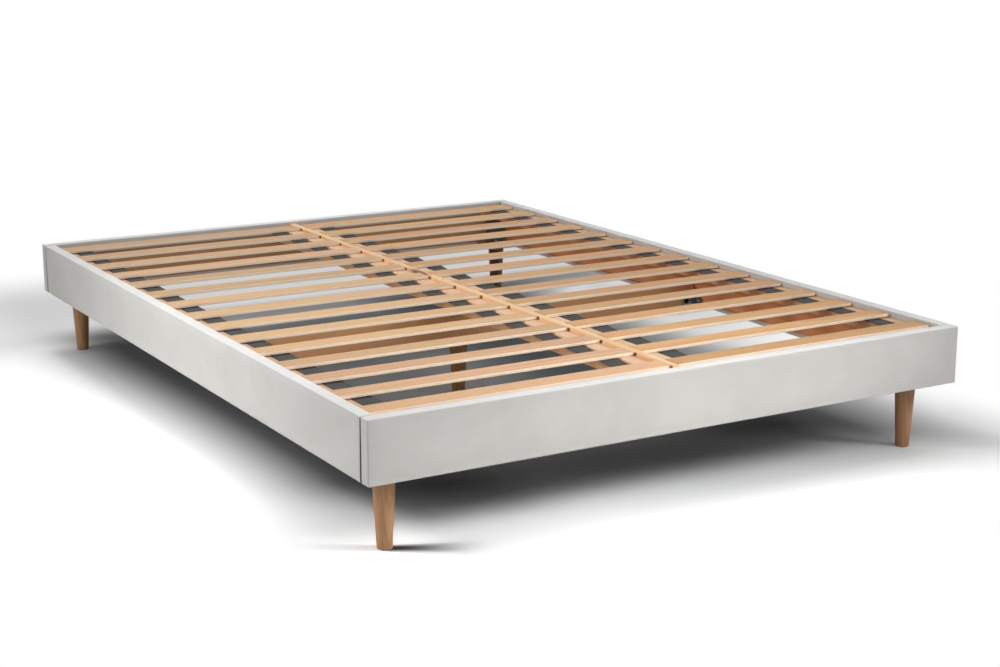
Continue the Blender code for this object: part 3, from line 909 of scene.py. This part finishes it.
def web_tape(side, place, slats, finish, sag):
    """A webbing tape with rounded selvedges. Where nothing lies under it, it sags between slats."""
    node = f"tape_{side}_{place}"
    low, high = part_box(node)
    shape = block(low, high, WEB_EDGE, (WEB_CROSS_STEP, WEB_STEP, ONE_STEP))
    spans = sorted((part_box(slat)[0].y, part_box(slat)[1].y) for slat in slats)
    gaps = [(before[1], after[0]) for before, after in zip(spans, spans[1:])]
    for vertex in shape.verts:
        for start, end in gaps:
            if start < vertex.co.y < end:
                share = (vertex.co.y - start) / (end - start)
                vertex.co.z -= sag * (4 * share * (1 - share)) ** WEB_SAG_POWER
        if sag:
            vertex.co.z -= WEB_CURL * abs(unevenness(vertex.co.x, vertex.co.y, WEB_CURL_NOISE))
    obj = piece(f"web_{side}_{place}", shape, finish, f"slat_mat_{side}", [node])


def screw_head():
    """A pan head with a cross recess, looking up +Z from its seat at the origin."""
    points = [(0.0, SCREW_HEAD_HEIGHT)]
    for step in range(1, SCREW_DOME_STEPS + 1):
        angle = math.pi / 2 * step / SCREW_DOME_STEPS
        points.append((SCREW_HEAD_RADIUS * math.sin(angle), SCREW_HEAD_HEIGHT * math.cos(angle)))
    points += [(SCREW_HEAD_RADIUS * SCREW_NECK_SHARE, -SCREW_SINK), (0.0, -SCREW_SINK)]
    obj = placed("screw_head", mesh_of("screw_head", lathe(points, SCREW_STEPS)))
    cutter = bmesh.new()
    size = (SCREW_HEAD_RADIUS * RECESS_SPAN_SHARE, RECESS_WIDTH, 2 * RECESS_DEPTH)
    for turn in (0, 90):
        made = bmesh.ops.create_cube(cutter, size=1)["verts"]
        bmesh.ops.scale(cutter, vec=size, verts=made)
        bmesh.ops.rotate(cutter, matrix=Matrix.Rotation(math.radians(turn), 3, "Z"), verts=made)
        bmesh.ops.translate(cutter, vec=(0, 0, SCREW_HEAD_HEIGHT), verts=made)
    tool = placed("screw_recess", mesh_of("screw_recess", cutter))
    change = obj.modifiers.new("recess", "BOOLEAN")
    change.operation = "DIFFERENCE"
    change.object = tool
    change.use_self = True
    apply_modifiers(obj)
    made = obj.data
    bpy.data.objects.remove(tool)
    bpy.data.objects.remove(obj)
    return made


def staple_mesh():
    """The crown of a staple: a flat wire that dives into the wood at both ends. It looks up +Z."""
    shape = bmesh.new()
    rows = []
    half = STAPLE_WIRE / 2
    for step in range(STAPLE_STEPS + 1):
        share = 2 * step / STAPLE_STEPS - 1
        x = STAPLE_WIDTH / 2 * share
        dive = abs(share) ** STAPLE_POWER
        z = STAPLE_PROUD * (1 - dive) - STAPLE_DIVE * dive
        above, below, flat = z + half * 0.4, z - half, half * 0.8
        ring = [(x, -half, below), (x, half, below), (x, flat, above), (x, -flat, above)]
        rows.append([shape.verts.new(point) for point in ring])
    for before, after in zip(rows, rows[1:]):
        for i in range(4):
            j = (i + 1) % 4
            shape.faces.new((before[i], after[i], after[j], before[j]))
    shape.faces.new(rows[0])
    shape.faces.new(reversed(rows[-1]))
    bmesh.ops.recalc_face_normals(shape, faces=shape.faces)
    return mesh_of("staple", shape)


def scattered(name, template, places, finish, body):
    """Copies of a small steel mesh at some 4 x 4 matrices, joined as one piece."""
    shape = bmesh.new()
    for matrix in places:
        start = len(shape.verts)
        shape.from_mesh(template)
        shape.verts.ensure_lookup_table()
        bmesh.ops.transform(shape, matrix=matrix, verts=shape.verts[start:])
    sharpen(piece(name, shape, finish, body), SMALL_SHARP_DEG)


def facing_matrix(place, normal, spin):
    """Puts a small part's +Z along a normal at a place, turned about it by spin degrees."""
    turn = Vector(normal).to_track_quat("Z", "Y").to_matrix().to_4x4()
    return Matrix.Translation(place) @ turn @ Matrix.Rotation(math.radians(spin), 4, "Z")


def dress_node(node, finish, rounding=0.0):
    """A CAD node keeps its shape and gets a finish, and softened edges where it is steel."""
    obj = frame["nodes"][node]
    obj.data.materials.clear()
    obj.data.materials.append(finish)
    if rounding:
        weld = obj.modifiers.new("weld", "WELD")
        weld.merge_threshold = STEEL_WELD
        bevel = obj.modifiers.new("soft_edges", "BEVEL")
        bevel.width = rounding
        bevel.segments = 2
        bevel.limit_method = "ANGLE"
        bevel.angle_limit = math.radians(STEEL_EDGE_DEG)


def camera():
    data = bpy.data.cameras.new("camera")
    data.lens, data.sensor_width = CAMERA_LENS_MM, CAMERA_SENSOR_MM
    obj = placed("camera", data)
    obj.location = CAMERA_PLACE
    obj.rotation_euler = [math.radians(angle) for angle in CAMERA_TURN_DEG]
    bpy.context.scene.camera = obj


def area_light(name, place, aim, size, power, spread):
    data = bpy.data.lights.new(name, "AREA")
    data.shape = "RECTANGLE"
    data.size, data.size_y = size
    data.energy = power
    data.spread = math.radians(spread)
    obj = placed(name, data)
    obj.location = place
    obj.rotation_euler = (Vector(aim) - Vector(place)).to_track_quat("-Z", "Y").to_euler()


def sky():
    """A dim sky, which is plain white to the camera and in reflections."""
    bpy.context.scene.view_settings.view_transform = "Standard"
    world = bpy.data.worlds.new("studio")
    bpy.context.scene.world = world
    g = Graph(world)
    rays = g.node("LightPath").outputs
    seen = g.most(*(rays[f"Is {kind} Ray"] for kind in ("Camera", "Glossy", "Transmission")))
    level = g.node("MapRange", {"Value": seen, "To Min": SKY_LEVEL, "To Max": 1.0})
    background = g.found("BACKGROUND")
    g.feed(background.inputs["Color"], (1.0, 1.0, 1.0))
    g.feed(background.inputs["Strength"], level.outputs["Result"])


def stage_plane(name, half_x, half_y, level, material):
    """A flat rectangle of the studio, at a level."""
    shape = bmesh.new()
    bmesh.ops.create_grid(shape, x_segments=1, y_segments=1, size=1.0)
    bmesh.ops.scale(shape, vec=(half_x, half_y, 1.0), verts=shape.verts)
    bmesh.ops.translate(shape, vec=(0, 0, level), verts=shape.verts)
    obj = placed(name, mesh_of(name, shape))
    obj.data.materials.append(material)
    obj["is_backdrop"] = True
    return obj


def floor_measures(g):
    """Places on the floor, and how far they are inside or past the bed's edges."""
    low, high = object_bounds()
    x, y, _ = g.split(g.place())
    return {
        "x": x,
        "y": y,
        "in_left": g.minus(x, low.x),
        "in_end": g.minus(high.y, g.size(y)),
        "past_right": g.minus(x, high.x),
        "past_head": g.minus(y, high.y),
        "past_side": g.most(g.minus(g.size(x), high.x), 0.0),
        "past_end": g.most(g.minus(g.size(y), high.y), 0.0),
        "past_foot_slant": g.minus(g.plus(y, g.times(x, FOOT_SLANT)), low.y),
        "right_slant": g.plus(y, g.times(x, RIGHT_SLANT)),
    }


def painted_leg_shadow(g, x, y):
    """A painted shadow: a soft dark streak from the near leg, as from a lamp low on the left."""
    leg_low, leg_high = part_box("leg_foot_left")
    foot = (leg_low + leg_high) / 2
    turn = math.radians(STREAK_TURN_DEG)
    off = g.join(g.minus(x, foot.x), g.minus(y, foot.y), 0.0)
    along = g.vector("DOT_PRODUCT", off, (math.cos(turn), math.sin(turn), 0.0))
    across = g.vector("DOT_PRODUCT", off, (-math.sin(turn), math.cos(turn), 0.0))
    half_width = g.step(along, 0.0, STREAK_END[0], *STREAK_HALF_WIDTHS)
    beside = g.math("DIVIDE", g.size(across), half_width)
    return g.times(g.step(along, *STREAK_START), g.step(along, *STREAK_END),
                   g.step(beside, *STREAK_SIDE_SHARES), STREAK_DEPTH)


def floor():
    """A pale floor. The camera sees it brighter, and white a little way from the bed.

    Painted shade darkens it along the bed's sides and ends, behind the head and past the right
    side, and a painted shadow streaks from the near leg. The shade behind the head and past the
    right side darkens the white too. Under the bed's middle, painted light lifts the floor a
    little for the camera.
    """
    g = material_graph("studio_floor")
    measures = floor_measures(g)

    def painted(name):
        depth, edges = FLOOR_SHADES[name]
        return g.times(*(g.step(measures[edge], none, full) for edge, none, full in edges), depth)

    to_camera = g.node("LightPath").outputs["Is Camera Ray"]
    streak = painted_leg_shadow(g, measures["x"], measures["y"])
    under = g.most(streak, painted("left"), painted("right"), painted("ends"))
    around = g.most(painted("near_head"), painted("head"), painted("aside"))
    lit = g.minus(1.0, around)
    shade = g.minus(1.0, g.times(g.minus(1.0, under), lit))
    bright = [part * FLOOR_CAMERA_GAIN for part in FLOOR_TONE]
    colour = g.mix(g.mix(FLOOR_TONE, bright, to_camera), FLOOR_SHADE_TONE, shade)
    matt = g.node("BsdfDiffuse", {"Color": colour}).outputs[0]
    fill = {"Color": FLOOR_FILL_TONE, "Strength": g.times(painted("fill"), to_camera)}
    filled = g.node("AddShader", {0: matt, 1: g.node("Emission", fill).outputs[0]}).outputs[0]
    white = g.node("Emission", {"Color": (1.0, 1.0, 1.0), "Strength": lit}).outputs[0]
    away = g.vector("LENGTH", g.join(measures["past_side"], measures["past_end"], 0.0))
    far = g.times(g.step(away, *FLOOR_FADE), to_camera)
    shown = g.node("MixShader", {0: far, 1: filled, 2: white}).outputs[0]
    stage_plane("floor", FLOOR_REACH, FLOOR_REACH, 0.0, g.show(shown))


def light_flag():
    """A studio flag just under the frame: it keeps the lamps off the floor below the slats.

    The camera doesn't see it. Its upper side glows a little, which fills the inside of the
    frame. Towards the middle its cloth lets some light through.
    """
    low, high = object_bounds()
    g = material_graph("flag_cloth")
    upper = g.minus(1.0, g.node("NewGeometry").outputs["Backfacing"])
    glow = {"Color": FLAG_GLOW_TONE, "Strength": g.times(upper, FLAG_GLOW)}
    dark = g.node("BsdfDiffuse", {"Color": FLAG_TONE}).outputs[0]
    cloth = g.node("AddShader", {0: dark, 1: g.node("Emission", glow).outputs[0]}).outputs[0]
    x, y, _ = g.split(g.place())
    inside = g.math("MINIMUM", g.minus(high.x, g.size(x)), g.minus(high.y, g.size(y)))
    leak = g.step(inside, *FLAG_LEAK_EDGE, 0.0, FLAG_LEAK)
    shown = g.node("MixShader", {0: leak, 1: cloth, 2: g.node("BsdfTransparent").outputs[0]})
    half_x, half_y = high.x - FLAG_INSET, high.y - FLAG_INSET
    obj = stage_plane("light_flag", half_x, half_y, FLAG_LEVEL, g.show(shown.outputs[0]))
    obj.visible_camera = obj.visible_glossy = obj.visible_transmission = False


def slats_of(side):
    return [node for node in sorted(frame["nodes"]) if node.startswith(f"slat_{side}")]


def dress_mats():
    """Each half's slats on their two tapes. Only the inner tape hangs free between slats."""
    webbing = webbing_finish()
    for side in SIDES:
        wood = woods["slat_pine_grain" if side == "left" else "warm_slat_pine_grain"]
        slats = slats_of(side)
        for node in slats:
            board(node, wood, f"slat_mat_{side}", SLAT_ROUNDING,
                  (SLAT_STEP, SLAT_CROSS_STEP, ONE_STEP), SLAT_BOW, SLAT_CROOK)
        web_tape(side, "inner", slats, webbing, WEB_SAG)
        web_tape(side, "outer", slats, webbing, 0.0)


def dress_covers():
    """The four fabric covers."""
    fabric = fabric_finish()
    ledge_low, ledge_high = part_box("left_ledge")
    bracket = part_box("corner_bracket_head_left")
    low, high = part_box("left_rail_cover")
    window = {"low": low.z + HEM_UP, "high": ledge_high.z, "end": high.y - CLOTH_END_MARGIN}
    for side, sign in SIDES.items():
        cloth = cover(side, 0, sign, window, abs(bracket[0].y), fabric)
    low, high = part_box("foot_rail_cover")
    window = {"low": low.z + HEM_UP, "high": high.z - HEM_DOWN, "end": abs(ledge_low.x)}
    for end, sign in ENDS.items():
        cloth = cover(end, 1, sign, window, abs(bracket[1].x), fabric)


def dress_boards():
    """The rail cores and the cross beam keep their CAD shape. The ledges and the spine are sawn."""
    for rail in (*SIDES, *ENDS):
        dress_node(f"{rail}_rail_core", woods[f"core_pine_{rail}"])
    dress_node("cross_beam", woods["beam_pine_grain"])
    spacings = (BOARD_CROSS_STEP, BOARD_STEP, BOARD_CROSS_STEP)
    for node in ("left_ledge", "right_ledge"):
        board(node, woods["ledge_pine_grain"], "frame", BOARD_ROUNDING, spacings, along=1)
    for node in ("centre_board", "centre_batten_left", "centre_batten_right"):
        board(node, woods["spine_pine_grain"], "frame", BOARD_ROUNDING, spacings, along=1)


def corner_screws(end, side, head):
    """Two screws through each flange of a corner bracket."""
    end_sign, side_sign = ENDS[end], SIDES[side]
    low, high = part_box(f"corner_bracket_{end}_{side}")
    outer_x, outer_y = max(abs(low.x), abs(high.x)), max(abs(low.y), abs(high.y))
    x = outer_x - END_FLANGE + SCREW_HOLE_INSET
    y = outer_y - SIDE_FLANGE + SCREW_HOLE_INSET
    places = []
    for z in (low.z + 2 * SCREW_HOLE_INSET, high.z - SCREW_HOLE_INSET):
        seat = (side_sign * x, end_sign * (outer_y - STEEL_THICKNESS), z)
        places.append(facing_matrix(seat, (0, -end_sign, 0), chance.uniform(0, 90)))
        seat = (side_sign * (outer_x - STEEL_THICKNESS), end_sign * y, z)
        places.append(facing_matrix(seat, (-side_sign, 0, 0), chance.uniform(0, 90)))
    scattered(f"screws_{end}_{side}", head, places, steels["screw_zinc"], "frame")


def beam_fixings(side, head):
    """The bolt and the screw of a beam angle."""
    side_sign = SIDES[side]
    low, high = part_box(f"beam_angle_{side}")
    outer_x, inner_x = max(abs(low.x), abs(high.x)), min(abs(low.x), abs(high.x))
    z = (low.z + high.z) / 2
    seat = (side_sign * (inner_x + SCREW_HOLE_INSET), high.y - STEEL_THICKNESS, z)
    bolt = facing_matrix(seat, (0, -1, 0), BOLT_TURN_DEG) @ Matrix.Scale(BOLT_SCALE, 4)
    scattered(f"bolt_beam_{side}", head, [bolt], steels["bolt_black"], "frame")
    seat = (side_sign * (outer_x - STEEL_THICKNESS), low.y + SCREW_HOLE_INSET, z)
    screw = facing_matrix(seat, (-side_sign, 0, 0), BEAM_SCREW_TURN_DEG)
    scattered(f"screw_beam_{side}", head, [screw], steels["screw_zinc"], "frame")


def tape_staples(side, place, staple):
    """Two staples up through a tape into each of its slats."""
    low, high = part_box(f"tape_{side}_{place}")
    places = []
    for node in slats_of(side):
        slat_low, slat_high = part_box(node)
        for share in STAPLE_SHARES:
            y = slat_low.y + (slat_high.y - slat_low.y) * share
            x = (low.x + high.x) / 2 + chance.uniform(-STAPLE_STRAY, STAPLE_STRAY)
            spin = chance.uniform(-STAPLE_STRAY_DEG, STAPLE_STRAY_DEG)
            places.append(facing_matrix((x, y, low.z), (0, 0, -1), spin))
    scattered(f"staples_web_{side}_{place}", staple, places, steels["screw_zinc"], f"slat_mat_{side}")


def dress_steel():
    """The brackets and angles, and the screws, bolts and staples."""
    for node in frame["nodes"]:
        if node.startswith(("corner_bracket", "beam_angle")):
            dress_node(node, steels["bracket_zinc"], STEEL_EDGE)
    head = screw_head()
    staple = staple_mesh()
    for end in ENDS:
        for side in SIDES:
            corner_screws(end, side, head)
    for side in SIDES:
        beam_fixings(side, head)
    for side in SIDES:
        for place in ("inner", "outer"):
            tape_staples(side, place, staple)


camera()
sky()
for name, softbox in SOFTBOXES.items():
    area_light(f"{name}_softbox", *softbox)
floor()
light_flag()

woods = {name: wood_finish(name, **look) for name, look in WOODS.items()}
steels = {name: steel_finish(name, *look) for name, look in STEELS.items()}
dress_mats()
# The centre leg takes the lighter copy of the beech, as painted light
for corner in ("foot_left", "foot_right", "head_left", "head_right", "centre"):
    wood = woods["centre_leg_lit_grain" if corner == "centre" else "leg_beech_grain"]
    leg(f"leg_{corner}", wood, steels["screw_zinc"])
dress_covers()
dress_boards()
dress_steel()
